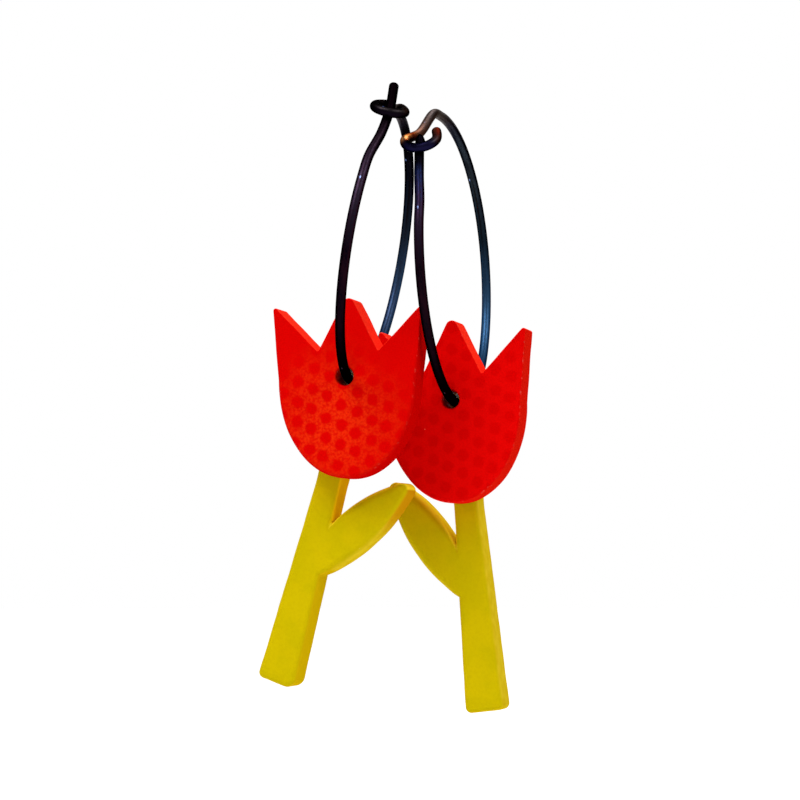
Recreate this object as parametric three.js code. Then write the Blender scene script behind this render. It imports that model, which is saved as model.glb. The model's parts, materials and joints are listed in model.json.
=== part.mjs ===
// A pair of tulip hoop earrings, hung side by side as they are worn or shown.
// Each earring is a wire hoop with a hook clasp that carries two loose plates on its lowest stretch:
// a tulip head in front and, behind it, a stem with one leaf. The two earrings mirror each other.
// Millimetres, +Z up, the plates' front faces look along -Y, the origin lies midway between the hoop crowns.
import * as THREE from 'three';

// Wire hoops
const wireDiameter = 0.8;

// Coloured sheet that the heads and stems are cut from
const sheetThickness = 3.0;
const edgeRound = 0.15;
const holeClearance = 0.13;

// Tulip head, measured from its hole, petal tips to their sharp corners before rounding
const headWidth = 12.62;
const sideFlare = 0.51;
const shoulderDrop = 0.3;
const cupDrop = 8.45;
const sideTipHeight = 6.0;
const middleTipHeight = 7.1;
const notchHeight = 2.06;
const notchSpacing = 5.05;
const sideTipRadius = 0.19;
const middleTipRadius = 0.5;
const notchRadius = 0.12;
const headOffset = 0.15;

// Stem, measured from its hole
const eyeWall = 1.0;
const throatPull = 3.6;
const neckDrop = 9.0;
const neckWidth = 2.1;
const footDrop = 26.1;
const footWidth = 3.35;
const footCornerRadius = 0.5;

// Leaf, measured from the stem's hole
const leafTipRadius = 0.6;
const leafForkDrop = 12.05;
const leafHeelDrop = 16.35;
const leafTipAngles = { lower: -15, upper: 115 };

// How the pieces hang, with gaps between them; each earring leans and is bent and cut a little differently
const plateGap = 0.3;
const stackGap = 0.45;
const sideGap = 0.74;
const dropStep = 1.6;
const left = {
  name: 'left', side: 1, hoopRadius: 11.15, hoopLean: 10.3, hoopTurn: 3.8, headHang: 0.6, stemHang: 15.2,
  openTurn: 125, claspRun: 5.35, claspShift: 0.35, endRun: 2.75,
  crownForward: 3.2, crownRise: 0, crownShift: 0.25, crownTurn: 90, crownSag: -0.22,
  hookRadius: 1.25, hookSweep: 225, hookTilt: 20, hookRoll: 5, hookEnd: 0.6,
  headStretch: 0.985, petalShift: 0.12, stemOffset: 0.2, footSlant: 0.3,
  leafReach: 7.0, leafTipDrop: 7.2,
  leafBellyReach: 5.5, leafBellyDrop: 13.55, leafHollowReach: 2.95, leafHollowDrop: 8.95,
};
const right = {
  name: 'right', side: -1, hoopRadius: 11.8, hoopLean: -2.0, hoopTurn: -0.7, headHang: -0.5, stemHang: -5.3,
  openTurn: 110, claspRun: 5.65, claspShift: -0.2, endRun: 0.2,
  crownForward: 1.2, crownRise: 0.75, crownShift: 0.43, crownTurn: 100, crownSag: 0.52,
  hookRadius: 1.34, hookSweep: 194, hookTilt: 40, hookRoll: 0, hookEnd: 0.95,
  headStretch: 1.02, petalShift: 0, stemOffset: 0.34, footSlant: 0.1,
  leafReach: 6.9, leafTipDrop: 6.2,
  leafBellyReach: 5.85, leafBellyDrop: 13.25, leafHollowReach: 3.0, leafHollowDrop: 8.25,
};

// Looks
const wireFinish = { color: 0x1a1416, roughness: 0.3, metalness: 0.9 };
const headFinish = { color: 0xd3180f, roughness: 0.45, metalness: 0 };
const stemFinish = { color: 0xd0b515, roughness: 0.5, metalness: 0 };

// Faceting
const wireSides = 12;
const wireSteps = 130;
const circleStep = 10;
const hookSteps = 8;
const cornerSteps = 5;
const cupSteps = 28;
const eyeSteps = 14;
const edgeSteps = 10;
const holeSteps = 12;
const bevelSteps = 2;

const { cos, sin, acos, asin, atan2, tan, PI, sqrt } = Math;
const radians = THREE.MathUtils.degToRad;
const point = (x, y) => new THREE.Vector2(x, y);

// Sizes that follow from the ones above
const stackReach = plateGap / 2 + sheetThickness;
const tightRadius = Math.min(left.hoopRadius, right.hoopRadius);
const wireRise = tightRadius - sqrt(tightRadius ** 2 - stackReach ** 2);
const holeDiameter = wireDiameter + wireRise + 2 * holeClearance;
const stackPitch = 2 * stackReach + stackGap;
const earringSpacing = (headWidth + wireDiameter) / 2 + sideGap;

function arc(centre, radius, from, to, steps, squash = 1) {
  const points = [];
  for (let i = 0; i <= steps; i += 1) {
    const angle = from + ((to - from) * i) / steps;
    points.push(point(centre.x + radius * cos(angle), centre.y + radius * squash * sin(angle)));
  }
  return points;
}

// Rounds the corner between two straight edges with an arc that touches both
function roundedCorner(before, corner, after, radius) {
  const back = before.clone().sub(corner).normalize();
  const ahead = after.clone().sub(corner).normalize();
  const half = acos(back.dot(ahead)) / 2;
  const bisector = back.clone().add(ahead).normalize();
  const centre = corner.clone().addScaledVector(bisector, radius / sin(half));
  const start = corner.clone().addScaledVector(back, radius / tan(half)).sub(centre);
  const end = corner.clone().addScaledVector(ahead, radius / tan(half)).sub(centre);
  const from = atan2(start.y, start.x);
  const turn = atan2(start.cross(end), start.dot(end));
  return arc(centre, radius, from, from + turn, cornerSteps);
}

// Cup with three pointed petals; the hole, at the origin, lies a little off the cup's axis
function headOutline({ headStretch, petalShift }) {
  const shoulder = headWidth / 2 - sideFlare;
  const onAxis = (x, y) => point(headOffset + x, y * headStretch);
  const rightShoulder = onAxis(shoulder, -shoulderDrop);
  const rightTip = onAxis(headWidth / 2, sideTipHeight);
  const rightNotch = onAxis(petalShift + notchSpacing / 2, notchHeight);
  const middleTip = onAxis(petalShift, middleTipHeight);
  const leftNotch = onAxis(petalShift - notchSpacing / 2, notchHeight);
  const leftTip = onAxis(-headWidth / 2, sideTipHeight);
  const leftShoulder = onAxis(-shoulder, -shoulderDrop);
  const cupRound = ((cupDrop - shoulderDrop) / shoulder) * headStretch;
  return [
    ...arc(onAxis(0, -shoulderDrop), shoulder, -PI, 0, cupSteps, cupRound),
    ...roundedCorner(rightShoulder, rightTip, rightNotch, sideTipRadius),
    ...roundedCorner(rightTip, rightNotch, middleTip, notchRadius),
    ...roundedCorner(rightNotch, middleTip, leftNotch, middleTipRadius),
    ...roundedCorner(middleTip, leftNotch, leftTip, notchRadius),
    ...roundedCorner(leftNotch, leftTip, leftShoulder, sideTipRadius),
  ];
}

// Half the stem's width, from the neck down to the flared foot
function stemHalfWidth(drop) {
  const share = (drop - neckDrop) / (footDrop - neckDrop);
  return (neckWidth + (footWidth - neckWidth) * share) / 2;
}

// Round eye that narrows to a neck, a flared stem, and a leaf on the +x side
function stemOutline(earring) {
  const { stemOffset, footSlant, leafReach, leafTipDrop } = earring;
  const { leafBellyReach, leafBellyDrop, leafHollowReach, leafHollowDrop } = earring;
  const eyeRadius = holeDiameter / 2 + eyeWall;
  const onStem = (side, drop) => point(stemOffset + side * stemHalfWidth(drop), -drop);
  const heel = onStem(1, leafHeelDrop);
  const fork = onStem(1, leafForkDrop);
  const footOuter = onStem(-1, footDrop - footSlant);
  const footInner = onStem(1, footDrop);
  const tipCentre = point(leafReach - leafTipRadius, -leafTipDrop - leafTipRadius);
  const { lower, upper } = leafTipAngles;
  const tip = arc(tipCentre, leafTipRadius, radians(lower), radians(upper), cornerSteps * 2);
  const belly = point(leafBellyReach, -leafBellyDrop);
  const hollow = point(leafHollowReach, -leafHollowDrop);
  const lowerEdge = new THREE.QuadraticBezierCurve(heel, belly, tip[0]);
  const upperEdge = new THREE.QuadraticBezierCurve(tip[tip.length - 1], hollow, fork);
  const throat = (side) => {
    const neck = onStem(side, neckDrop);
    const eye = side * eyeRadius;
    return new THREE.CubicBezierCurve(
      neck, point(neck.x, -neckDrop + throatPull), point(eye, -throatPull), point(eye, 0),
    );
  };
  return [
    ...roundedCorner(onStem(-1, neckDrop), footOuter, footInner, footCornerRadius),
    ...roundedCorner(footOuter, footInner, heel, footCornerRadius),
    ...lowerEdge.getPoints(edgeSteps).slice(0, -1),
    ...tip,
    ...upperEdge.getPoints(edgeSteps).slice(1),
    ...throat(1).getPoints(edgeSteps).slice(0, -1),
    ...arc(point(0, 0), eyeRadius, 0, PI, eyeSteps),
    ...throat(-1).getPoints(edgeSteps).reverse().slice(1),
  ];
}

// A flat plate standing in the X-Z plane, centred on y = 0, with softened edges and the wire's hole
function plateGeometry(outline) {
  const shape = new THREE.Shape(outline);
  const hole = new THREE.Path();
  hole.absarc(0, 0, holeDiameter / 2, 0, 2 * PI, true);
  shape.holes.push(hole);
  const geometry = new THREE.ExtrudeGeometry(shape, {
    depth: sheetThickness - 2 * edgeRound,
    bevelThickness: edgeRound,
    bevelSize: edgeRound,
    bevelOffset: -edgeRound,
    bevelSegments: bevelSteps,
    curveSegments: holeSteps,
  });
  geometry.translate(0, 0, edgeRound - sheetThickness / 2);
  return geometry.rotateX(PI / 2);
}

// The hoop's centreline lies in its own Y-Z plane, with its lowest point at the origin, front at -y
function hoopPoint(radius, turn) {
  return new THREE.Vector3(0, radius * sin(turn), radius * (1 - cos(turn)));
}

// An open loop round the given centre, with a short straight end
function hookPoints({ side, hookRadius, hookSweep, hookTilt, hookRoll, hookEnd }, centre) {
  const tilt = radians(hookTilt);
  const roll = radians(hookRoll);
  const backward = new THREE.Vector3(0, cos(tilt), sin(tilt));
  const sideways = new THREE.Vector3(cos(roll), 0, -sin(roll)).multiplyScalar(side);
  const onLoop = (across, along) => (
    centre.clone().addScaledVector(sideways, across).addScaledVector(backward, along)
  );
  const points = [];
  for (let i = 0; i <= hookSteps; i += 1) {
    const turn = radians(90 + (hookSweep * i) / hookSteps);
    points.push(onLoop(hookRadius * sin(turn), hookRadius * cos(turn)));
  }
  const last = radians(90 + hookSweep);
  const endAcross = hookRadius * sin(last) + hookEnd * cos(last);
  const endAlong = hookRadius * cos(last) - hookEnd * sin(last);
  return [...points, onLoop(endAcross, endAlong)];
}

// From the open end round the bottom, up the back in an oval quarter to the crown, down a sagging
// stretch and round the hook
function hoopCurve(earring) {
  const { side, hoopRadius, openTurn, claspRun, claspShift, endRun } = earring;
  const { crownForward, crownRise, crownShift, crownTurn, crownSag } = earring;
  const open = radians(openTurn);
  const endDirection = new THREE.Vector3(0, -cos(open), sin(open));
  const onEnd = (run, shift) => {
    const place = hoopPoint(hoopRadius, -open).addScaledVector(endDirection, run);
    place.x = shift;
    return place;
  };
  const hookCentre = onEnd(claspRun, claspShift);
  const points = [onEnd(claspRun + endRun, 0), hookCentre, onEnd(claspRun / 2, claspShift)];
  for (let turn = -openTurn; turn < 90; turn += circleStep) {
    points.push(hoopPoint(hoopRadius, radians(turn)));
  }
  for (let turn = 0; turn <= crownTurn; turn += circleStep) {
    const back = (hoopRadius + crownForward) * cos(radians(turn)) - crownForward;
    const height = hoopRadius + (hoopRadius + crownRise) * sin(radians(turn));
    points.push(new THREE.Vector3(side * crownShift * (1 - cos(radians(turn))), back, height));
  }
  const hook = hookPoints(earring, hookCentre);
  const midway = points[points.length - 1].clone().lerp(hook[0], 0.5);
  midway.z -= crownSag;
  return new THREE.CatmullRomCurve3([...points, midway, ...hook]);
}

function hoopGeometry(earring) {
  const section = new THREE.Shape(arc(point(0, 0), wireDiameter / 2, 0, 2 * PI, wireSides).slice(0, -1));
  return new THREE.ExtrudeGeometry(section, { steps: wireSteps, extrudePath: hoopCurve(earring) });
}

function namedMesh(name, geometry, finish) {
  const mesh = new THREE.Mesh(geometry, new THREE.MeshStandardMaterial(finish));
  mesh.name = name;
  return mesh;
}

// The right earring's stem is mirrored, so that both leaves point inward
function handedStem(earring) {
  const outline = stemOutline(earring);
  return earring.side > 0 ? outline : outline.map(({ x, y }) => point(-x, y)).reverse();
}

function makeEarring(earring) {
  const { name, hoopRadius, hoopLean, hoopTurn, headHang, stemHang } = earring;
  const hoop = namedMesh(`${name}_hoop`, hoopGeometry(earring), wireFinish);
  hoop.rotation.set(0, radians(hoopLean), radians(hoopTurn), 'ZYX');

  // Where the wire's centreline passes a given depth, so that a hole can be centred on it
  const wirePlace = (y) => {
    const turn = asin(y / hoopRadius / cos(hoop.rotation.z));
    return hoopPoint(hoopRadius, turn).applyEuler(hoop.rotation);
  };
  const seat = (plate, centre) => {
    const inner = wirePlace(centre - sheetThickness / 2);
    const outer = wirePlace(centre + sheetThickness / 2);
    plate.position.set((inner.x + outer.x) / 2, centre, (inner.z + outer.z) / 2);
  };

  const head = namedMesh(`${name}_tulip_head`, plateGeometry(headOutline(earring)), headFinish);
  head.rotation.y = radians(headHang);
  seat(head, -(plateGap + sheetThickness) / 2);
  const stem = namedMesh(`${name}_stem_leaf`, plateGeometry(handedStem(earring)), stemFinish);
  stem.rotation.y = radians(stemHang);
  seat(stem, (plateGap + sheetThickness) / 2);

  const group = new THREE.Group();
  group.add(hoop, head, stem);
  return group;
}

const leftEarring = makeEarring(left);
const rightEarring = makeEarring(right);
rightEarring.position.set(earringSpacing, stackPitch, -dropStep);

// The origin is midway between the two crowns
const crownOf = (group, { hoopRadius }) => {
  const [hoop] = group.children;
  return new THREE.Vector3(0, 0, 2 * hoopRadius).applyEuler(hoop.rotation).add(group.position);
};
const pair = new THREE.Group();
pair.add(leftEarring, rightEarring);
pair.position.copy(crownOf(leftEarring, left)).lerp(crownOf(rightEarring, right), 0.5).negate();

export default pair;
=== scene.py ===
"""The looks of a pair of tulip hoop earrings: dark wire hoops, red heads and yellow stems."""
import json
from math import acos, asin, atan2, ceil, cos, pi, radians, sin, sqrt, tan

import bmesh
import bpy
from mathutils import Matrix, Vector, geometry, noise


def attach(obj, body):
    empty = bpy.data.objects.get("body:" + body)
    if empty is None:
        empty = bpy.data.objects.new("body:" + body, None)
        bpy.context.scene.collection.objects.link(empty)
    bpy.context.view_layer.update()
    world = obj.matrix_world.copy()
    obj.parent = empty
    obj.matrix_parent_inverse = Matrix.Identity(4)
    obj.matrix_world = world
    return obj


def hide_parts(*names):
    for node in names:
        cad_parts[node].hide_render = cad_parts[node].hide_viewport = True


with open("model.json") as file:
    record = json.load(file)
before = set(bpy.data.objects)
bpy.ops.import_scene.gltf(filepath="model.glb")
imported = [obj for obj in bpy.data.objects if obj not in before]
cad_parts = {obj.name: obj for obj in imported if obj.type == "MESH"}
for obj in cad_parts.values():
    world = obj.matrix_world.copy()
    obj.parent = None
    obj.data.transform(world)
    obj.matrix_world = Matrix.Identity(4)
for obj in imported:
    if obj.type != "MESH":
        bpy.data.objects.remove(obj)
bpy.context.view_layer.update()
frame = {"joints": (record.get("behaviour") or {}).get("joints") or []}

# Shapes are worked out in millimetres and degrees, and turned into metres and radians for Blender
MM = 0.001
QUARTER_TURN = 90

# Wire hoops
WIRE_DIAMETER = 0.8
WIRE_END_DOME = 0.22

# Coloured sheet that the heads and stems are cut from
SHEET_THICKNESS = 3.0
HOLE_CLEARANCE = 0.13
SAW_WANDER = 0.03
SAW_WANDER_LENGTH = 1.6
STEM_SEED = 5

# Softened edges: each rounding ends in a narrow flat band that keeps the face beside it flat
PETAL_ROUND = 0.14
STEM_ROUND = 0.42
LEAF_ROUND = 0.75
LEAF_ROUND_REACH = (2.0, 6.0)
HOLE_ROUND = 0.14
RIM_FLAT_SHARE = 0.2
MITRE_LIMIT = 3

# Tulip head, measured from its hole
HEAD_WIDTH = 12.62
SIDE_FLARE = 0.51
SHOULDER_DROP = 0.3
CUP_DROP = 8.45
SIDE_TIP_HEIGHT = 6.0
MIDDLE_TIP_HEIGHT = 7.1
NOTCH_HEIGHT = 2.06
NOTCH_SPACING = 5.05
SIDE_TIP_RADIUS = 0.19
MIDDLE_TIP_RADIUS = 0.5
NOTCH_RADIUS = 0.12
HEAD_OFFSET = 0.15

# Stem and leaf, measured from the stem's hole
EYE_WALL = 1.0
THROAT_PULL = 3.6
NECK_DROP = 9.0
NECK_WIDTH = 2.1
FOOT_DROP = 26.1
FOOT_WIDTH = 3.35
FOOT_CORNER_RADIUS = 0.5
LEAF_TIP_RADIUS = 0.6
LEAF_TIP_ANGLES = (-15, 115)
LEAF_FORK_DROP = 12.05
LEAF_HEEL_DROP = 16.35

# How the two earrings hang and how each was bent and cut, angles in degrees
PLATE_GAP = 0.3
LEFT = {
    "name": "left", "side": 1, "hoop_radius": 11.15, "hoop_lean": 10.3, "hoop_turn": 3.8,
    "head_hang": 0.6, "stem_hang": 15.2,
    "open_turn": 125, "clasp_run": 5.35, "clasp_shift": 0.35, "end_run": 2.75,
    "crown_forward": 3.2, "crown_rise": 0.0, "crown_shift": 0.25, "crown_turn": 90, "crown_sag": -0.22,
    "hook_radius": 1.25, "hook_sweep": 225, "hook_tilt": 20, "hook_roll": 5, "hook_end": 0.6,
    "head_stretch": 0.985, "petal_shift": 0.12, "cup_round": 0.4,
    "stem_offset": 0.2, "foot_slant": 0.3, "foot_corner": 0.85,
    "leaf_reach": 7.0, "leaf_tip_drop": 7.2, "leaf_belly": (5.5, -13.55), "leaf_hollow": (2.95, -8.95),
}
RIGHT = {
    "name": "right", "side": -1, "hoop_radius": 11.8, "hoop_lean": -2.0, "hoop_turn": -0.7,
    "head_hang": -0.5, "stem_hang": -5.3,
    "open_turn": 110, "clasp_run": 5.65, "clasp_shift": -0.2, "end_run": 0.2,
    "crown_forward": 1.2, "crown_rise": 0.75, "crown_shift": 0.43, "crown_turn": 100, "crown_sag": 0.52,
    "hook_radius": 1.34, "hook_sweep": 194, "hook_tilt": 40, "hook_roll": 0, "hook_end": 0.95,
    "head_stretch": 1.02, "petal_shift": 0.0, "cup_round": 0.26,
    "stem_offset": 0.34, "foot_slant": 0.1, "foot_corner": 0.5,
    "leaf_reach": 6.9, "leaf_tip_drop": 6.2, "leaf_belly": (5.85, -13.25), "leaf_hollow": (3.0, -8.25),
}
STACK_REACH = PLATE_GAP / 2 + SHEET_THICKNESS
TIGHT_RADIUS = min(LEFT["hoop_radius"], RIGHT["hoop_radius"])
WIRE_RISE = TIGHT_RADIUS - sqrt(TIGHT_RADIUS ** 2 - STACK_REACH ** 2)
HOLE_RADIUS = (WIRE_DIAMETER + WIRE_RISE) / 2 + HOLE_CLEARANCE

# Fineness of the meshes
OUTLINE_STEP = 0.22
CORNER_STEPS = 8
CURVE_STEPS = 40
ROUND_STEPS = 5
CIRCLE_STEP = 10
HOOK_STEPS = 8
WIRE_STEP = 0.15
WIRE_SIDES = 24
DOME_STEPS = 5

# Finishes: a range gives the value where a change starts and the one where it is complete
MIDDLE = 0.5

# Polka dots, in staggered columns that start from one dot's place
DOT_START = Vector((-2.72, 0, -2.7))
DOT_COLUMN = 1.27
DOT_ROW = 1.64
DOT_STAGGER = 0.34
DOT_RADIUS = 0.49
DOT_BLUR = 0.13
DOT_STRAY = 0.2
DOT_LEAN = radians(-3)

# Sheet: its edge by the share of the way over the rounding, and its surface from face to saw cut
EDGE_FADE = (0.3, 0.8)
RIM_STARTS = (0.25, 0.5)
RIM_ENDS = (0.95, 0.6)
SHEET_ROUGHNESS = (0.42, 0.65)
SHEET_GLOSS = (0.01, 0.0)
SHEET_GRAIN_DEPTH = 0.01
SAW_MARK_STRETCH = (9.0, 1.2, 9.0)
FLAW_STRENGTH = 0.4
WORN_RIM = (250, 150, 130)

# Red sheet, in screen colours; its ground glows orange low on the cup
GLOW_CENTRE = (-0.7, 0, -3.7)
GLOW_FADE = 6.5
GLOW_WAVER = 3.0
RED_GRAIN = (150, 0, 0)
RED_GRAIN_STRENGTH = 0.12
RED_FLAW = (252, 150, 130)
# Sawn red edges that face up are paler: painted light from above
RED_EDGE_PAINTED_TOP_LIGHT = ((246, 38, 22), (255, 58, 34))
RED_UPWARD_SLOPE = (0.1, 0.45)
SCRATCH_ANGLE = radians(35)
SCRATCH_STRETCH = (0.5, 1.0, 4.0)

# Yellow sheet, in screen colours; its edge changes with the height and with the way out to the leaf, as
# painted light and shade
YELLOW_FACE = ((202, 179, 2), (195, 175, 1))
YELLOW_GRAIN = (160, 128, 0)
YELLOW_GRAIN_STRENGTH = 0.1
YELLOW_FLAW = (250, 226, 150)
YELLOW_EDGE = ((212, 180, 16), (222, 192, 34))
# Yellow edges that face up are brighter and warmer: painted light from above with red light bounced from
# the heads
YELLOW_EDGE_PAINTED_TOP_LIGHT = (255, 234, 40)
YELLOW_UPWARD_SLOPE = (0.15, 0.5)
# The stem's side wall on the leaf's side has its own tint, warmer above the fork: painted red light bounced
# from the head into the shade below it
STEM_SIDE_LOW = (208, 173, 4)
STEM_SIDE_HIGH = (240, 196, 8)
STEM_SIDE_HEIGHT = (-13.0, -12.0)
STEM_SIDE_STARTS = (0.4, 0.8)
STEM_SIDE_ENDS = (2.6, 2.2)
# The leaf's edge near its tip is a darker orange: painted shade with red light bounced from the heads
LEAF_TIP_EDGE = (204, 144, 8)
LEAF_TIP_REACH = (5.2, 6.6)

# Tints of the darkened wire, as screen colours at distances in millimetres from the hoop's lowest point:
# a violet sheen in front, partly the wire's heat tint and partly painted highlight, black where the plates
# hang, steel blue behind them, partly heat tint and partly painted glare, and grey over the crown, painted
# glare
BLACK = (0, 0, 0)
WIRE_BLACK = (9, 5, 9)
LEFT_TINTS = [
    (-28.5, (12, 5, 9)), (-26, (38, 27, 36)), (-21, (37, 32, 46)), (-16, (3, 2, 8)), (0, WIRE_BLACK),
    (14, (36, 44, 66)), (20, (14, 20, 30)), (26, (10, 13, 20)), (40, (44, 40, 40)),
]
RIGHT_TINTS = [
    (-26, (3, 3, 9)), (-25, (14, 24, 54)), (-21, (32, 26, 43)), (-17, (6, 4, 9)), (0, WIRE_BLACK),
    (14, (40, 70, 102)), (22, (10, 20, 28)), (32, (36, 42, 48)), (40, (50, 48, 52)),
]
FLANK_TINTS = [
    (-26, WIRE_BLACK), (-22, (34, 12, 22)), (-12, (22, 6, 12)), (0, WIRE_BLACK),
    (15, (34, 58, 84)), (20, (12, 20, 28)), (26, WIRE_BLACK),
]
RIM_TINTS = [
    (6, BLACK), (12, (90, 120, 150)), (17, (90, 120, 150)), (21, (40, 46, 53)), (27, (40, 46, 53)),
    (34, (170, 170, 174)), (40, (190, 184, 180)),
]

# The wire's grain, stretched along it, and how it covers the sheen: a painted highlight on the wire's outer
# and inner sides that fades on its flanks
STREAK_STRETCH = (0.45, 1.1, 1.1)
SPECKLE_STRETCH = (6.0, 4.0, 4.0)
MOTTLE_STRETCH = (4.0, 3.2, 3.2)
SHEEN_SIDE = (0.25, 0.95)
SHEEN_LEAST = 0.35
GLINT_BLUE = (120, 140, 190)
GLINT_STRENGTH = 0.6
WIRE_ROUGHNESS = (0.22, 0.46)
WIRE_GRAIN_DEPTH = 0.006

# Bronze heat tint on the hook, with a pale painted highlight on its bend and grey painted glare towards the
# crown, at distances in millimetres from the hook's end
BRONZE_TINTS = [
    (0, (124, 72, 48)), (1.6, (90, 48, 36)), (4.6, (70, 38, 32)), (5.3, (206, 150, 108)),
    (6.6, (104, 60, 42)), (12, (84, 80, 78)),
]
BRONZE_SHADE = (36, 14, 12)
BRONZE_SIDE = (-0.3, 0.9)
BRONZE_WAVER = 0.4
HOOK_END_BRONZE_AND_HIGHLIGHT = (2.4, 0.8)
HOOK_END_SHARE = 0.8
BEND_STARTS = (4.2, 5.2)
BEND_ENDS = (13.0, 9.0)
LOOP_BLUE = (14, 12, 36)
LOOP_STARTS = (1.8, 2.6)
LOOP_ENDS = (4.9, 4.1)
RIM_OFF_HOOK = (5.0, 8.0)

# Studio, in millimetres and degrees
FLOOR_HEIGHT = -85
FLOOR_RADIUS = 2500
FLOOR_SEGMENTS = 128
FLOOR_COLOUR = (245, 245, 244)
FLOOR_ROUGHNESS = 0.9
FLOOR_GLOSS = 0.1
FLOOR_GLOW = 0.75
WHITE = (1.0, 1.0, 1.0, 1.0)
AMBIENT = 0.32
CAMERA_TARGET = Vector((-2.1025, -0.2592, -23.353))
CAMERA_AZIMUTH = 14.3
CAMERA_ELEVATION = -3.5
CAMERA_DISTANCE = 220
CAMERA_LENS = 118.8
CAMERA_SENSOR = 36
CAMERA_NEAR = 5


# Outlines in a plate's own plane, as 2D vectors in millimetres from its hole

def arc(centre, radius, start, end, steps, squash=1.0):
    """Points on an arc from one angle to another; squash flattens it in height."""
    turns = [start + (end - start) * i / steps for i in range(steps + 1)]
    return [centre + Vector((radius * cos(turn), radius * squash * sin(turn))) for turn in turns]


def bezier(controls, steps):
    """Points on the Bezier curve of the given control points."""
    def place(share):
        layer = controls
        while len(layer) > 1:
            layer = [a.lerp(b, share) for a, b in zip(layer, layer[1:])]
        return layer[0]
    return [place(i / steps) for i in range(steps + 1)]


def rounded_corner(before, corner, after, radius):
    """The arc that rounds the corner between two straight edges."""
    back = (before - corner).normalized()
    ahead = (after - corner).normalized()
    half = acos(back.dot(ahead)) / 2
    centre = corner + (back + ahead).normalized() * (radius / sin(half))
    start = corner + back * (radius / tan(half)) - centre
    end = corner + ahead * (radius / tan(half)) - centre
    first = atan2(start.y, start.x)
    turn = atan2(start.x * end.y - start.y * end.x, start.dot(end))
    return arc(centre, radius, first, first + turn, CORNER_STEPS)


def head_outline(stretch, petal_shift):
    """A cup with three pointed petals; each was cut a little taller or with its middle petal aside."""
    shoulder = HEAD_WIDTH / 2 - SIDE_FLARE

    def on_axis(across, height):
        return Vector((HEAD_OFFSET + across, height * stretch))

    corners = [
        (HEAD_WIDTH / 2, SIDE_TIP_HEIGHT, SIDE_TIP_RADIUS),
        (petal_shift + NOTCH_SPACING / 2, NOTCH_HEIGHT, NOTCH_RADIUS),
        (petal_shift, MIDDLE_TIP_HEIGHT, MIDDLE_TIP_RADIUS),
        (petal_shift - NOTCH_SPACING / 2, NOTCH_HEIGHT, NOTCH_RADIUS),
        (-HEAD_WIDTH / 2, SIDE_TIP_HEIGHT, SIDE_TIP_RADIUS),
    ]
    places = [on_axis(across, height) for across, height, _ in corners]
    chain = [on_axis(shoulder, -SHOULDER_DROP), *places, on_axis(-shoulder, -SHOULDER_DROP)]
    cup_round = (CUP_DROP - SHOULDER_DROP) / shoulder * stretch
    outline = arc(on_axis(0, -SHOULDER_DROP), shoulder, -pi, 0, 2 * CURVE_STEPS, cup_round)
    for before, corner, after, (_, _, radius) in zip(chain, places, chain[2:], corners):
        outline += rounded_corner(before, corner, after, radius)
    return outline


def on_stem(offset, side, drop):
    """A point on the stem's edge; the stem widens from its neck to its foot."""
    share = (drop - NECK_DROP) / (FOOT_DROP - NECK_DROP)
    half_width = (NECK_WIDTH + (FOOT_WIDTH - NECK_WIDTH) * share) / 2
    return Vector((offset + side * half_width, -drop))


def stem_throat(offset, side):
    """The edge that narrows from the round eye to the neck, from the neck up."""
    eye_edge = side * (HOLE_RADIUS + EYE_WALL)
    neck = on_stem(offset, side, NECK_DROP)
    pulls = [Vector((neck.x, THROAT_PULL - NECK_DROP)), Vector((eye_edge, -THROAT_PULL))]
    return bezier([neck, *pulls, Vector((eye_edge, 0))], CURVE_STEPS)


def stem_outline(earring):
    """A round eye, a neck, a flared stem, and a leaf on the +x side."""
    offset = earring["stem_offset"]
    heel = on_stem(offset, 1, LEAF_HEEL_DROP)
    fork = on_stem(offset, 1, LEAF_FORK_DROP)
    neck = on_stem(offset, -1, NECK_DROP)
    foot_outer = on_stem(offset, -1, FOOT_DROP - earring["foot_slant"])
    foot_inner = on_stem(offset, 1, FOOT_DROP)
    tip_top = Vector((earring["leaf_reach"], -earring["leaf_tip_drop"]))
    tip_centre = tip_top - Vector((LEAF_TIP_RADIUS, LEAF_TIP_RADIUS))
    lower, upper = (radians(angle) for angle in LEAF_TIP_ANGLES)
    tip = arc(tip_centre, LEAF_TIP_RADIUS, lower, upper, 2 * CORNER_STEPS)
    return [
        *rounded_corner(neck, foot_outer, foot_inner, FOOT_CORNER_RADIUS),
        *rounded_corner(foot_outer, foot_inner, heel, earring["foot_corner"]),
        *bezier([heel, Vector(earring["leaf_belly"]), tip[0]], CURVE_STEPS)[:-1],
        *tip,
        *bezier([tip[-1], Vector(earring["leaf_hollow"]), fork], CURVE_STEPS)[1:],
        *stem_throat(offset, 1)[:-1],
        *arc(Vector((0, 0)), HOLE_RADIUS + EYE_WALL, 0, pi, CURVE_STEPS),
        *stem_throat(offset, -1)[-2::-1],
    ]


def hole_outline():
    """The hole, turning the other way round than a plate's own outline."""
    return arc(Vector((0, 0)), HOLE_RADIUS, 2 * pi, 0, 2 * CURVE_STEPS)[:-1]


def mirrored(outline):
    """The outline with its leaf on the other side, still turning the same way round."""
    return [Vector((-point.x, point.y)) for point in reversed(outline)]


def spaced(outline):
    """The outline with its long edges divided into short steps."""
    points = []
    for here, there in zip(outline, outline[1:] + outline[:1]):
        pieces = ceil((there - here).length / OUTLINE_STEP)
        points += [here.lerp(there, i / pieces) for i in range(pieces)]
    return points


def outward_steps(outline):
    """For each point the step that moves it out by one, square to both of its edges."""
    steps = []
    for before, here, after in zip(outline[-1:] + outline, outline, outline[1:] + outline[:1]):
        first = (here - before).normalized()
        second = (after - here).normalized()
        normal = Vector((first.y + second.y, -first.x - second.x)).normalized()
        lean = max(normal.dot(Vector((first.y, -first.x))), 1 / MITRE_LIMIT)
        steps.append(normal / lean)
    return steps


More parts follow.
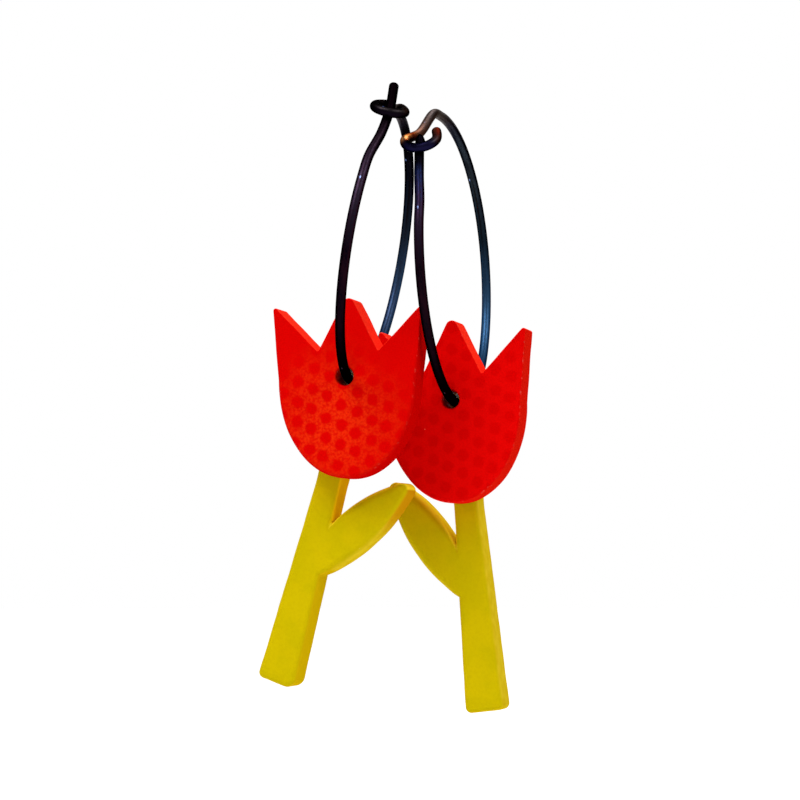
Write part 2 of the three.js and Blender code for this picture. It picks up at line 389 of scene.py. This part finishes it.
def hand_sawn(outline, seed):
    """The outline with the slight wander of an edge that was sawn and filed by hand."""
    def wander(point):
        return noise.noise(Vector((point.x, point.y, seed)) / SAW_WANDER_LENGTH)
    steps = outward_steps(outline)
    return [point + step * (SAW_WANDER * wander(point)) for point, step in zip(outline, steps)]


def head_round(cup_round):
    """How far a head's edge is rounded at a point: the cup is filed softer than the petals' points."""
    def at_point(point):
        share = min(max((NOTCH_HEIGHT - point.y) / (NOTCH_HEIGHT + SHOULDER_DROP), 0), 1)
        return PETAL_ROUND + (cup_round - PETAL_ROUND) * share
    return at_point


def stem_round(point):
    """How far the stem's edge is rounded: softest along the leaf's long edges, less at its tip and stem."""
    near, far = LEAF_ROUND_REACH
    reach = abs(point.x)
    share = min(max(reach - near, 0), max(far - reach, 0), 1)
    return STEM_ROUND + (LEAF_ROUND - STEM_ROUND) * share


def hole_round(point):
    return HOLE_ROUND


# Meshes, whose points carry what the finishes need to know. On a plate: "plate" is the place in millimetres
# from the hole, "sawn" the way over the rounding from face to saw cut, "slope" how far the edge looks up.
# On a wire: "wire" is the way along it from its lowest point with two parts of the turn round it, and
# "to_hook_end" the way back from the hook's end.

def new_piece(name, points, faces, attributes, material):
    """A smooth closed mesh object with its points in metres and with the given point attributes."""
    mesh = bpy.data.meshes.new(name)
    mesh.from_pydata([point * MM for point in points], [], faces)
    shape = bmesh.new()
    shape.from_mesh(mesh)
    bmesh.ops.recalc_face_normals(shape, faces=shape.faces)
    shape.to_mesh(mesh)
    shape.free()
    mesh.shade_smooth()
    for key, values in attributes.items():
        if isinstance(values[0], Vector):
            flat = [number for value in values for number in value]
            mesh.attributes.new(key, "FLOAT_VECTOR", "POINT").data.foreach_set("vector", flat)
        else:
            mesh.attributes.new(key, "FLOAT", "POINT").data.foreach_set("value", values)
    mesh.materials.append(material)
    piece = bpy.data.objects.new(name, mesh)
    bpy.context.scene.collection.objects.link(piece)
    return piece


def band(first, second, count):
    """Quads between two rings of points, given by the numbers of their first points."""
    quads = []
    for here in range(count):
        there = (here + 1) % count
        quads.append((first + here, first + there, second + there, second + here))
    return quads


def edge_profile():
    """Steps over a plate's edge for a rounding of one: inset, depth below the face, share of sawn edge."""
    steps = [(1 + RIM_FLAT_SHARE, 0.0, 0.0)]
    for i in range(ROUND_STEPS + 1):
        turn = i * pi / 2 / ROUND_STEPS
        steps.append((1 - sin(turn), 1 - cos(turn), i / ROUND_STEPS))
    steps.append((0.0, 1 + RIM_FLAT_SHARE, 1.0))
    return steps


def edge_rings(outline, rounding):
    """Rings of points over a plate's edge from its front to its back, with their shares of sawn edge."""
    half = SHEET_THICKNESS / 2
    steps = outward_steps(outline)
    rounds = [rounding(point) for point in outline]
    front, back = [], []
    for inset, depth, share in edge_profile():
        ring = [(point - step * (inset * soft), depth * soft - half)
                for point, step, soft in zip(outline, steps, rounds)]
        front.append(([Vector((point.x, y, point.y)) for point, y in ring], share))
        back.append(([Vector((point.x, -y, point.y)) for point, y in ring], share))
    return front + back[::-1]


def plate_piece(name, outline, rounding, place, material):
    """A plate with softened edges and its hole; place turns its own millimetres into the frame's."""
    points, sawn, slope, faces = [], [], [], []
    cap_rings = {0: [], -1: []}
    for loop, loop_rounding, is_sawn in ((outline, rounding, 1.0), (hole_outline(), hole_round, 0.0)):
        starts = []
        upward = [step.normalized().y for step in outward_steps(loop)]
        for ring, share in edge_rings(loop, loop_rounding):
            starts.append(len(points))
            points += ring
            sawn += [share * is_sawn] * len(ring)
            slope += upward
        for first, second in zip(starts, starts[1:]):
            faces += band(first, second, len(loop))
        for end, rings in cap_rings.items():
            rings.append(range(starts[end], starts[end] + len(loop)))
    for rings in cap_rings.values():
        order = [number for ring in rings for number in ring]
        flat = [[Vector((points[number].x, points[number].z, 0)) for number in ring] for ring in rings]
        faces += [[order[i] for i in corners] for corners in geometry.tessellate_polygon(flat)]
    placed = [place @ point for point in points]
    return new_piece(name, placed, faces, {"plate": points, "sawn": sawn, "slope": slope}, material)


def hoop_point(radius, turn):
    """A point of the hoop's centreline in its own Y-Z plane, lowest point at the origin."""
    return Vector((0, radius * sin(turn), radius * (1 - cos(turn))))


def open_end_points(earring):
    """The straight end that the hook catches, from its tip down to the round of the hoop."""
    open_turn = radians(earring["open_turn"])
    start = hoop_point(earring["hoop_radius"], -open_turn)
    direction = Vector((0, -cos(open_turn), sin(open_turn)))
    clasp_run, shift = earring["clasp_run"], earring["clasp_shift"]
    places = [(clasp_run + earring["end_run"], 0), (clasp_run, shift), (clasp_run / 2, shift)]
    return [start + direction * run + Vector((across, 0, 0)) for run, across in places]


def crown_points(earring):
    """The oval bend that rises from the back of the hoop and over its crown."""
    radius, forward = earring["hoop_radius"], earring["crown_forward"]
    points = []
    for turn in range(0, earring["crown_turn"] + 1, CIRCLE_STEP):
        across = earring["side"] * earring["crown_shift"] * (1 - cos(radians(turn)))
        back = (radius + forward) * cos(radians(turn)) - forward
        height = radius + (radius + earring["crown_rise"]) * sin(radians(turn))
        points.append(Vector((across, back, height)))
    return points


def hook_points(earring, centre):
    """The open loop round the hoop's straight end, with a short straight end of its own."""
    tilt, roll = radians(earring["hook_tilt"]), radians(earring["hook_roll"])
    backward = Vector((0, cos(tilt), sin(tilt)))
    sideways = Vector((cos(roll), 0, -sin(roll))) * earring["side"]
    points = []
    for i in range(HOOK_STEPS + 1):
        turn = radians(QUARTER_TURN + earring["hook_sweep"] * i / HOOK_STEPS)
        points.append(centre + (sideways * sin(turn) + backward * cos(turn)) * earring["hook_radius"])
    onward = sideways * cos(turn) - backward * sin(turn)
    return [*points, points[-1] + onward * earring["hook_end"]]


def hoop_points(earring):
    """From the open end round the bottom, up the back, over the crown and round the hook."""
    open_end = open_end_points(earring)
    turns = range(-earring["open_turn"], QUARTER_TURN, CIRCLE_STEP)
    circle = [hoop_point(earring["hoop_radius"], radians(turn)) for turn in turns]
    crown = crown_points(earring)
    hook = hook_points(earring, open_end[1])
    midway = (crown[-1] + hook[0]) / 2 - Vector((0, 0, earring["crown_sag"]))
    return [*open_end, *circle, *crown, midway, *hook]


def catmull_rom(four, knots, time):
    """The curve's place at a time between the second and the third of four points."""
    def blend(layer, span):
        pairs = zip(layer, layer[1:], knots, knots[span:])
        return [a.lerp(b, (time - start) / (end - start)) for a, b, start, end in pairs]
    before, after = blend(blend(four, 1), 2)
    return before.lerp(after, (time - knots[1]) / (knots[2] - knots[1]))


def smooth_path(points):
    """Closely spaced points on the centripetal Catmull-Rom curve through the given points."""
    ends = [2 * points[0] - points[1], *points, 2 * points[-1] - points[-2]]
    path = []
    for four in zip(ends, ends[1:], ends[2:], ends[3:]):
        knots = [0.0]
        for here, there in zip(four, four[1:]):
            knots.append(knots[-1] + sqrt((there - here).length))
        pieces = ceil((four[2] - four[1]).length / WIRE_STEP)
        for i in range(pieces):
            path.append(catmull_rom(four, knots, knots[1] + (knots[2] - knots[1]) * i / pieces))
    return [*path, points[-1]]


def wire_stations(path):
    """Places along the wire with their distance, direction and share of the wire's radius."""
    distances = [0.0]
    for here, there in zip(path, path[1:]):
        distances.append(distances[-1] + (there - here).length)
    total = distances[-1]
    directions = [(b - a).normalized() for a, b in zip(path[:1] + path, path[1:] + path[-1:])]
    stations = []
    for place, distance, direction in zip(path, distances, directions):
        if WIRE_END_DOME < distance < total - WIRE_END_DOME:
            stations.append((place, distance, direction, 1.0))
    for end, inward, base in ((0, 1, 0.0), (-1, -1, total)):
        dome = []
        for i in range(DOME_STEPS):
            turn = (i + 0.5) * pi / 2 / DOME_STEPS
            depth = inward * WIRE_END_DOME * (1 - sin(turn))
            dome.append((path[end] + directions[end] * depth, base + depth, directions[end], cos(turn)))
        stations = dome[::-1] + stations if end == 0 else stations + dome
    return stations


def wire_piece(name, path, place, material):
    """A round wire with softly filed ends along a path, marked from its lowest point and its hook's end."""
    points, wire, to_hook_end, faces = [], [], [], []
    across = Vector((1, 0, 0))
    stations = wire_stations(path)
    lowest = min(stations, key=lambda station: station[0].z)[1]
    hook_end = stations[-1][1]
    for centre, distance, direction, share in stations:
        across = (across - direction * across.dot(direction)).normalized()
        over = direction.cross(across)
        for i in range(WIRE_SIDES):
            turn = 2 * pi * i / WIRE_SIDES
            out = across * cos(turn) + over * sin(turn)
            points.append(place @ (centre + out * (share * WIRE_DIAMETER / 2)))
            wire.append(Vector((distance - lowest, cos(turn), sin(turn))))
            to_hook_end.append(hook_end - distance)
    starts = range(0, len(points), WIRE_SIDES)
    for first, second in zip(starts, starts[1:]):
        faces += band(first, second, WIRE_SIDES)
    faces += [list(range(WIRE_SIDES)), list(range(starts[-1], len(points)))]
    return new_piece(name, points, faces, {"wire": wire, "to_hook_end": to_hook_end}, material)


# Materials

def srgb(red, green, blue):
    """A linear colour from its screen values, 0 to 255, by the curve that the sRGB standard gives."""
    def linear(value):
        share = value / 255
        return share / 12.92 if share <= 0.04045 else ((share + 0.055) / 1.055) ** 2.4
    return (linear(red), linear(green), linear(blue), 1.0)


class Finish:
    """A new material's node tree, with short ways to add nodes and join them."""

    # The numbers of a mix node's sockets for colours, which share their names with other sockets
    MIX_COLOURS = (6, 7)
    MIX_RESULT = 2

    def __init__(self, name):
        self.material = bpy.data.materials.new(name)
        self.material.use_nodes = True
        self.nodes = self.material.node_tree.nodes
        self.surface = self.nodes["Principled BSDF"]

    def put(self, socket, value):
        if isinstance(value, bpy.types.NodeSocket):
            self.material.node_tree.links.new(value, socket)
        else:
            socket.default_value = value

    def add(self, kind, inputs, **settings):
        node = self.nodes.new(kind)
        for key, value in settings.items():
            setattr(node, key, value)
        for key, value in inputs.items():
            self.put(node.inputs[key], value)
        return node

    def set(self, **values):
        for key, value in values.items():
            self.put(self.surface.inputs[key.replace("_", " ").title().replace("Ior", "IOR")], value)

    def attribute(self, name):
        return self.add("ShaderNodeAttribute", {}, attribute_name=name)

    def math(self, operation, first, second=0.0):
        return self.add("ShaderNodeMath", {0: first, 1: second}, operation=operation).outputs[0]

    def product(self, first, *others):
        for other in others:
            first = self.math("MULTIPLY", first, other)
        return first

    def vector(self, operation, first, second=(0, 0, 0)):
        node = self.add("ShaderNodeVectorMath", {0: first, 1: second}, operation=operation)
        return node.outputs["Value" if operation == "LENGTH" else "Vector"]

    def apart(self, place):
        """The three parts of a place, by their axes' names."""
        return self.add("ShaderNodeSeparateXYZ", {"Vector": place}).outputs

    def turned(self, place, angle):
        """A place in a plate, turned within the plate's plane."""
        inputs = {"Vector": place, "Angle": angle}
        return self.add("ShaderNodeVectorRotate", inputs, rotation_type="Y_AXIS").outputs["Vector"]

    def ease(self, value, low, high):
        """0 below low, 1 above high and smooth between; it falls where low is above high."""
        inputs = {"Value": value, "From Min": low, "From Max": high}
        return self.add("ShaderNodeMapRange", inputs, interpolation_type="SMOOTHSTEP").outputs["Result"]

    def spread(self, value, low, high):
        """Stretches 0 to 1 over low to high."""
        inputs = {"Value": value, "To Min": low, "To Max": high}
        return self.add("ShaderNodeMapRange", inputs).outputs["Result"]

    def between(self, value, starts, ends):
        """1 between two ranges and 0 outside them, smooth within each."""
        return self.product(self.ease(value, *starts), self.ease(value, *ends))

    def mix(self, share, first, second):
        """A blend of two colours; each is a node's output or a screen colour."""
        inputs = {"Factor": share}
        for number, colour in zip(self.MIX_COLOURS, (first, second)):
            inputs[number] = colour if isinstance(colour, bpy.types.NodeSocket) else srgb(*colour)
        return self.add("ShaderNodeMix", inputs, data_type="RGBA").outputs[self.MIX_RESULT]

    def ramp(self, value, stops):
        """A colour that changes with a value, from pairs of a value and its screen colour."""
        low, high = stops[0][0], stops[-1][0]
        inputs = {"Value": value, "From Min": low, "From Max": high}
        share = self.add("ShaderNodeMapRange", inputs).outputs["Result"]
        node = self.add("ShaderNodeValToRGB", {"Fac": share})
        elements = node.color_ramp.elements
        elements[0].color = srgb(*stops[0][1])
        elements[1].color = srgb(*stops[-1][1])
        for place, colour in stops[1:-1]:
            elements.new((place - low) / (high - low)).color = srgb(*colour)
        return node.outputs["Color"]

    def noise(self, place, scale, detail=2.0):
        inputs = {"Vector": place, "Scale": scale, "Detail": detail}
        return self.add("ShaderNodeTexNoise", inputs).outputs[0]

    def stretched_noise(self, place, stretch, detail):
        """A noise with its own fineness along each axis."""
        return self.noise(self.vector("MULTIPLY", place, stretch), scale=1.0, detail=detail)

    def patches(self, place, scale, detail, low, high):
        """Soft patches, as a mask: where a noise is above high, or below it if low is the larger."""
        return self.ease(self.noise(place, scale, detail), low, high)

    def strayed(self, place, scale, reach):
        """The place, moved about by a soft noise, so that what is drawn there gets uneven."""
        drawn = self.add("ShaderNodeTexNoise", {"Vector": place, "Scale": scale}).outputs["Color"]
        shift = self.vector("SUBTRACT", drawn, (MIDDLE, MIDDLE, MIDDLE))
        return self.vector("ADD", place, self.vector("MULTIPLY", shift, (reach, reach, reach)))

    def bump(self, height, distance):
        """A normal bent by a height; the distance is the relief's depth in millimetres."""
        inputs = {"Height": height, "Distance": distance * MM}
        return self.add("ShaderNodeBump", inputs).outputs["Normal"]


def dots(finish, place):
    """Polka dots in staggered, slightly uneven columns, as a mask."""
    uneven = finish.strayed(finish.vector("SUBTRACT", place, DOT_START), scale=2.0, reach=0.35)
    apart = finish.apart(finish.turned(uneven, DOT_LEAN))
    column = finish.math("ADD", finish.math("DIVIDE", apart["X"], DOT_COLUMN), MIDDLE)
    stagger = finish.product(finish.math("FLOOR", column), DOT_STAGGER)
    level = finish.math("DIVIDE", apart["Z"], DOT_ROW)
    row = finish.math("ADD", level, finish.math("ADD", stagger, MIDDLE))
    grid = finish.add("ShaderNodeCombineXYZ", {"X": column, "Y": row}).outputs["Vector"]
    cell = finish.vector("FLOOR", grid)
    inside = finish.vector("SUBTRACT", finish.vector("SUBTRACT", grid, cell), (MIDDLE, MIDDLE, 0))
    sized = finish.vector("MULTIPLY", inside, (DOT_COLUMN, DOT_ROW, 0))
    draw = finish.add("ShaderNodeTexWhiteNoise", {"Vector": cell}).outputs["Color"]
    centred = finish.vector("SUBTRACT", draw, (MIDDLE, MIDDLE, MIDDLE))
    shift = finish.vector("MULTIPLY", centred, (DOT_STRAY, DOT_STRAY, 0))
    distance = finish.vector("LENGTH", finish.vector("ADD", sized, shift))
    return finish.ease(distance, DOT_RADIUS + DOT_BLUR, DOT_RADIUS - DOT_BLUR)


def specks(finish, place, spacing, radius, share):
    """Small scattered spots, as a mask: about the given share of the spots that lie a spacing apart."""
    cells = finish.add("ShaderNodeTexVoronoi", {"Vector": place, "Scale": 1 / spacing})
    near = finish.ease(cells.outputs["Distance"], radius / spacing, radius / spacing / 2)
    drawn = finish.add("ShaderNodeSeparateColor", {"Color": cells.outputs["Color"]}).outputs["Red"]
    return finish.product(near, finish.math("LESS_THAN", drawn, share))


def scratches(finish, place):
    """A few short hairlines across a face, as a mask."""
    drawn_out = finish.vector("MULTIPLY", finish.turned(place, SCRATCH_ANGLE), SCRATCH_STRETCH)
    return specks(finish, drawn_out, spacing=2.4, radius=0.22, share=0.04)


def sheet_finish(name, face, sawn_edge, worn_share, saw_depth):
    """The satin sheet: its face, its sawn edge, a worn line where they meet, and a fine grain."""
    finish = Finish(name)
    plate = finish.attribute("plate").outputs["Vector"]
    sawn = finish.attribute("sawn").outputs["Fac"]

    colour = finish.mix(finish.ease(sawn, *EDGE_FADE), face(finish, plate), sawn_edge(finish, plate))
    chipped = finish.patches(plate, scale=3.2, detail=4.0, low=0.55, high=0.72)
    worn = finish.product(finish.between(sawn, RIM_STARTS, RIM_ENDS), chipped, worn_share)
    colour = finish.mix(worn, colour, WORN_RIM)

    grain = finish.noise(plate, scale=7.0, detail=4.0)
    saw_marks = finish.stretched_noise(plate, SAW_MARK_STRETCH, detail=3.0)
    height = finish.math("ADD", grain, finish.product(sawn, saw_marks, saw_depth))
    finish.set(base_color=colour, roughness=finish.spread(sawn, *SHEET_ROUGHNESS))
    finish.set(specular_ior_level=finish.spread(sawn, *SHEET_GLOSS))
    finish.set(normal=finish.bump(height, SHEET_GRAIN_DEPTH))
    return finish.material


def red_sheet(name, ground, dot, side_edge, glow_reach, evenness, worn_share, own):
    """Red sheet with deeper dots that show most where the ground is lightest.

    Evenness is the share of the ground's light that its mottle leaves everywhere; own moves the flaws.
    """
    def face(finish, plate):
        away = finish.vector("LENGTH", finish.vector("SUBTRACT", plate, GLOW_CENTRE))
        waver = finish.product(finish.noise(plate, scale=0.4), GLOW_WAVER)
        light = finish.ease(finish.math("ADD", away, waver), glow_reach, glow_reach - GLOW_FADE)
        mottle = finish.patches(plate, scale=4.5, detail=5.0, low=0.36, high=0.62)
        undotted = finish.math("SUBTRACT", 1.0, dots(finish, plate))
        lit = finish.product(light, finish.spread(mottle, evenness, 1.0), undotted)
        grain = finish.patches(plate, scale=6.0, detail=3.0, low=0.6, high=0.35)
        colour = finish.mix(lit, dot, ground)
        colour = finish.mix(finish.product(grain, RED_GRAIN_STRENGTH), colour, RED_GRAIN)
        moved = finish.vector("ADD", plate, own)
        spots = specks(finish, moved, spacing=1.2, radius=0.08, share=0.06)
        flaws = finish.math("ADD", spots, scratches(finish, moved))
        return finish.mix(finish.product(flaws, FLAW_STRENGTH), colour, RED_FLAW)

    def sawn_edge(finish, plate):
        speckle = finish.patches(plate, scale=9.0, detail=3.0, low=0.4, high=0.62)
        # Edges that face up take the paler red, painted light from above
        upward = finish.ease(finish.attribute("slope").outputs["Fac"], *RED_UPWARD_SLOPE)
        return finish.mix(upward, finish.mix(speckle, *side_edge), finish.mix(speckle, *RED_EDGE_PAINTED_TOP_LIGHT))

    return sheet_finish(name, face, sawn_edge, worn_share, saw_depth=0.8)


def yellow_sheet(name, side):
    """Mustard yellow sheet with paler, smooth edges that turn warmer at the leaf's fork and tip, as painted
    shade with bounced red light, and brighter where they face up, as painted light from above.
    """
    def face(finish, plate):
        cloud = finish.patches(plate, scale=0.5, detail=2.0, low=0.35, high=0.65)
        grain = finish.patches(plate, scale=5.0, detail=4.0, low=0.6, high=0.35)
        colour = finish.mix(cloud, *YELLOW_FACE)
        colour = finish.mix(finish.product(grain, YELLOW_GRAIN_STRENGTH), colour, YELLOW_GRAIN)
        flaws = specks(finish, plate, spacing=1.4, radius=0.06, share=0.06)
        return finish.mix(finish.product(flaws, FLAW_STRENGTH), colour, YELLOW_FLAW)

    def sawn_edge(finish, plate):
        apart = finish.apart(plate)
        leafward = finish.product(apart["X"], side)
        cloud = finish.patches(plate, scale=1.1, detail=3.0, low=0.3, high=0.7)
        # The stem's side wall takes its own warmer tint: painted red light bounced from the head into the
        # shade below it
        stem_side = finish.mix(finish.ease(apart["Z"], *STEM_SIDE_HEIGHT), STEM_SIDE_LOW, STEM_SIDE_HIGH)
        on_stem_side = finish.between(leafward, STEM_SIDE_STARTS, STEM_SIDE_ENDS)
        edge = finish.mix(on_stem_side, finish.mix(cloud, *YELLOW_EDGE), stem_side)
        # Near the leaf's tip the edge turns darker orange: painted shade with bounced red light
        edge = finish.mix(finish.ease(leafward, *LEAF_TIP_REACH), edge, LEAF_TIP_EDGE)
        # Edges that face up take the brighter yellow, painted light from above
        upward = finish.ease(finish.attribute("slope").outputs["Fac"], *YELLOW_UPWARD_SLOPE)
        return finish.mix(upward, edge, YELLOW_EDGE_PAINTED_TOP_LIGHT)

    return sheet_finish(name, face, sawn_edge, worn_share=0.0, saw_depth=0.2)


def bronze_and_highlight_hook(finish, colour, to_end, around, streaks, mottle, bronze):
    """The wire's colour with bronze on the hook, lighter on its outer side as painted highlight and darker
    on its inner side as painted shade, and blue on its loop, by a share.
    """
    at_end = finish.product(finish.ease(to_end, *HOOK_END_BRONZE_AND_HIGHLIGHT), HOOK_END_SHARE)
    on_bend = finish.between(to_end, BEND_STARTS, BEND_ENDS)
    patchy = finish.spread(finish.ease(streaks, 0.3, 0.7), 0.6, 1.0)
    # Where the bronze shows: partly its heat tint, partly a painted highlight
    bronze_and_highlight = finish.product(finish.math("MAXIMUM", at_end, on_bend), patchy, bronze)
    waver = finish.spread(mottle, -BRONZE_WAVER, BRONZE_WAVER)
    # The outer side takes the bronze's lighter tints and the inner side its shade: painted highlight and
    # painted shade
    outer = finish.ease(finish.math("ADD", around, waver), *BRONZE_SIDE)
    warm = finish.mix(outer, BRONZE_SHADE, finish.ramp(to_end, BRONZE_TINTS))
    on_loop = finish.product(finish.between(to_end, LOOP_STARTS, LOOP_ENDS), bronze)
    return finish.mix(on_loop, finish.mix(bronze_and_highlight, colour, warm), LOOP_BLUE)


def dark_wire(name, tints, bronze):
    """Wire darkened by heat: black with a sheen whose tint changes along it, partly its heat tint and
    partly painted highlight and glare, and bronze at the hook with painted highlight and shade.
    """
    finish = Finish(name)
    wire = finish.attribute("wire").outputs["Vector"]
    to_end = finish.attribute("to_hook_end").outputs["Fac"]
    apart = finish.apart(wire)
    along, around = apart["X"], apart["Z"]
    streaks = finish.stretched_noise(wire, STREAK_STRETCH, detail=3.0)
    speckle = finish.stretched_noise(wire, SPECKLE_STRETCH, detail=3.0)
    mottle = finish.stretched_noise(wire, MOTTLE_STRETCH, detail=4.0)

    # Painted highlight: the sheen's tints show on the wire's outer and inner sides, the flank tints on its
    # sides
    painted_sheen_side = finish.ease(finish.math("ABSOLUTE", around), *SHEEN_SIDE)
    cover = finish.product(finish.ease(streaks, 0.25, 0.6), finish.ease(speckle, 0.3, 0.6))
    shown = finish.product(painted_sheen_side, finish.spread(cover, SHEEN_LEAST, 1.0))
    colour = finish.mix(shown, finish.ramp(along, FLANK_TINTS), finish.ramp(along, tints))
    colour = bronze_and_highlight_hook(finish, colour, to_end, around, streaks, mottle, bronze)
    glints = specks(finish, wire, spacing=1.0, radius=0.17, share=0.16)
    colour = finish.mix(finish.product(glints, GLINT_STRENGTH, painted_sheen_side), colour, GLINT_BLUE)

    rim = finish.mix(finish.ease(to_end, *RIM_OFF_HOOK), BLACK, finish.ramp(along, RIM_TINTS))
    finish.set(base_color=colour, metallic=1.0, roughness=finish.spread(mottle, *WIRE_ROUGHNESS))
    finish.set(specular_tint=rim, normal=finish.bump(mottle, WIRE_GRAIN_DEPTH))
    return finish.material


# The object

def hoop_rotation(earring):
    """How a hoop leans to the side and then turns about the vertical."""
    turn = Matrix.Rotation(radians(earring["hoop_turn"]), 3, "Z")
    return turn @ Matrix.Rotation(radians(earring["hoop_lean"]), 3, "Y")


def head_seat(earring):
    """Where the head's hole sits on the wire, from the hoop's lowest point."""
    centre = -(PLATE_GAP + SHEET_THICKNESS) / 2

    def wire_place(depth):
        turn = asin(depth / earring["hoop_radius"] / cos(radians(earring["hoop_turn"])))
        return hoop_rotation(earring) @ hoop_point(earring["hoop_radius"], turn)

    middle = (wire_place(centre - SHEET_THICKNESS / 2) + wire_place(centre + SHEET_THICKNESS / 2)) / 2
    return Vector((middle.x, centre, middle.z))


def hung_at(hole, hang):
    """The place of a plate that hangs turned about its hole."""
    return Matrix.Translation(hole) @ Matrix.Rotation(radians(hang), 4, "Y")


def make_earring(earring, head_finish, stem_finish, wire_finish):
    """The three pieces of one earring, each in place of its node."""
    name, side = earring["name"], earring["side"]
    holes = {joint["child"]: Vector(joint["pos_m"]) / MM for joint in frame["joints"]}
    head_hole, stem_hole = holes[f"{name}_head"], holes[f"{name}_stem"]

    head_edge = spaced(head_outline(earring["head_stretch"], earring["petal_shift"]))
    head = plate_piece(
        f"{name}_head_plate", hand_sawn(head_edge, seed=side), head_round(earring["cup_round"]),
        hung_at(head_hole, earring["head_hang"]), head_finish,
    )
    stem_edge = stem_outline(earring)
    stem_edge = spaced(stem_edge if side > 0 else mirrored(stem_edge))
    stem = plate_piece(
        f"{name}_stem_plate", hand_sawn(stem_edge, seed=side + STEM_SEED), stem_round,
        hung_at(stem_hole, earring["stem_hang"]), stem_finish,
    )
    hoop_place = Matrix.Translation(head_hole - head_seat(earring)) @ hoop_rotation(earring).to_4x4()
    hoop = wire_piece(f"{name}_hoop_wire", smooth_path(hoop_points(earring)), hoop_place, wire_finish)

    for piece, body, node, slot in (
        (hoop, "hoops", f"{name}_hoop", "dark_wire"),
        (head, f"{name}_head", f"{name}_tulip_head", "red_sheet"),
        (stem, f"{name}_stem", f"{name}_stem_leaf", "yellow_sheet"),
    ):
        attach(piece, body)
        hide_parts(node)


# The left head's sawn edge is a darker red than the right head's: painted shade from the right head beside
# it
left_red = red_sheet(
    "red_sheet_left", ground=(230, 41, 6), dot=(212, 1, 0), side_edge=((194, 1, 0), (204, 3, 1)),
    glow_reach=9.2, evenness=0.25, worn_share=0.08, own=(31, 0, 12),
)
right_red = red_sheet(
    "red_sheet_right", ground=(225, 3, 2), dot=(213, 0, 0), side_edge=((212, 12, 3), (230, 30, 13)),
    glow_reach=16.0, evenness=0.8, worn_share=0.25, own=(-23, 0, 47),
)
left_yellow = yellow_sheet("yellow_sheet_left", LEFT["side"])
right_yellow = yellow_sheet("yellow_sheet_right", RIGHT["side"])
left_wire = dark_wire("dark_wire_left", LEFT_TINTS, bronze=0.05)
right_wire = dark_wire("dark_wire_right", RIGHT_TINTS, bronze=0.95)
make_earring(LEFT, left_red, left_yellow, left_wire)
make_earring(RIGHT, right_red, right_yellow, right_wire)


# Studio

def from_target(azimuth, elevation, distance):
    """A place round the object: azimuth 0 is in front, 90 to the right; in metres."""
    turn, rise = radians(azimuth), radians(elevation)
    direction = Vector((sin(turn) * cos(rise), -cos(turn) * cos(rise), sin(rise)))
    return (CAMERA_TARGET + direction * distance) * MM


def aim(obj, place):
    """Puts a lamp or camera at a place in metres, looking at the target."""
    obj.location = place
    obj.rotation_euler = (CAMERA_TARGET * MM - place).to_track_quat("-Z", "Y").to_euler()
    bpy.context.scene.collection.objects.link(obj)


def seen_directly(nodes, links):
    """1 for rays from the camera and for what glossy and clear surfaces show, 0 for light."""
    path = nodes.new("ShaderNodeLightPath")
    total = path.outputs["Is Camera Ray"]
    for name in ("Is Glossy Ray", "Is Transmission Ray"):
        node = nodes.new("ShaderNodeMath")
        node.operation = "MAXIMUM"
        links.new(total, node.inputs[0])
        links.new(path.outputs[name], node.inputs[1])
        total = node.outputs[0]
    return total


def make_floor():
    """A wide pale floor that is seen as white and keeps the object's shadow."""
    shape = bmesh.new()
    bmesh.ops.create_circle(shape, cap_ends=True, segments=FLOOR_SEGMENTS, radius=FLOOR_RADIUS * MM)
    mesh = bpy.data.meshes.new("floor")
    shape.to_mesh(mesh)
    shape.free()
    floor = bpy.data.objects.new("floor", mesh)
    floor.location.z = FLOOR_HEIGHT * MM
    bpy.context.scene.collection.objects.link(floor)
    finish = Finish("floor_white")
    seen = seen_directly(finish.nodes, finish.material.node_tree.links)
    finish.set(base_color=srgb(*FLOOR_COLOUR), roughness=FLOOR_ROUGHNESS, specular_ior_level=FLOOR_GLOSS)
    finish.set(emission_color=WHITE, emission_strength=finish.product(seen, FLOOR_GLOW))
    mesh.materials.append(finish.material)


def make_world():
    """A white surround that lights the object evenly at a plain level."""
    world = bpy.data.worlds.new("studio")
    bpy.context.scene.world = world
    world.use_nodes = True
    nodes, links = world.node_tree.nodes, world.node_tree.links
    strength = nodes.new("ShaderNodeMapRange")
    strength.inputs["To Min"].default_value = AMBIENT
    strength.inputs["To Max"].default_value = 1.0
    links.new(seen_directly(nodes, links), strength.inputs["Value"])
    background = nodes["Background"]
    background.inputs["Color"].default_value = WHITE
    links.new(strength.outputs["Result"], background.inputs["Strength"])


def make_lamp(name, azimuth, elevation, distance, size, power):
    lamp = bpy.data.lights.new(name, "AREA")
    lamp.size = size * MM
    lamp.energy = power
    aim(bpy.data.objects.new(name, lamp), from_target(azimuth, elevation, distance))


def make_camera():
    camera = bpy.data.cameras.new("camera")
    camera.lens = CAMERA_LENS
    camera.sensor_width = CAMERA_SENSOR
    camera.clip_start = CAMERA_NEAR * MM
    obj = bpy.data.objects.new("camera", camera)
    aim(obj, from_target(CAMERA_AZIMUTH, CAMERA_ELEVATION, CAMERA_DISTANCE))
    bpy.context.scene.camera = obj


make_floor()
make_world()
make_lamp("key", azimuth=-25, elevation=50, distance=600, size=320, power=2.55)
make_lamp("fill", azimuth=65, elevation=42, distance=700, size=300, power=1.3)
make_lamp("back", azimuth=170, elevation=60, distance=600, size=320, power=1.9)
make_camera()
bpy.context.scene.view_settings.view_transform = "Standard"
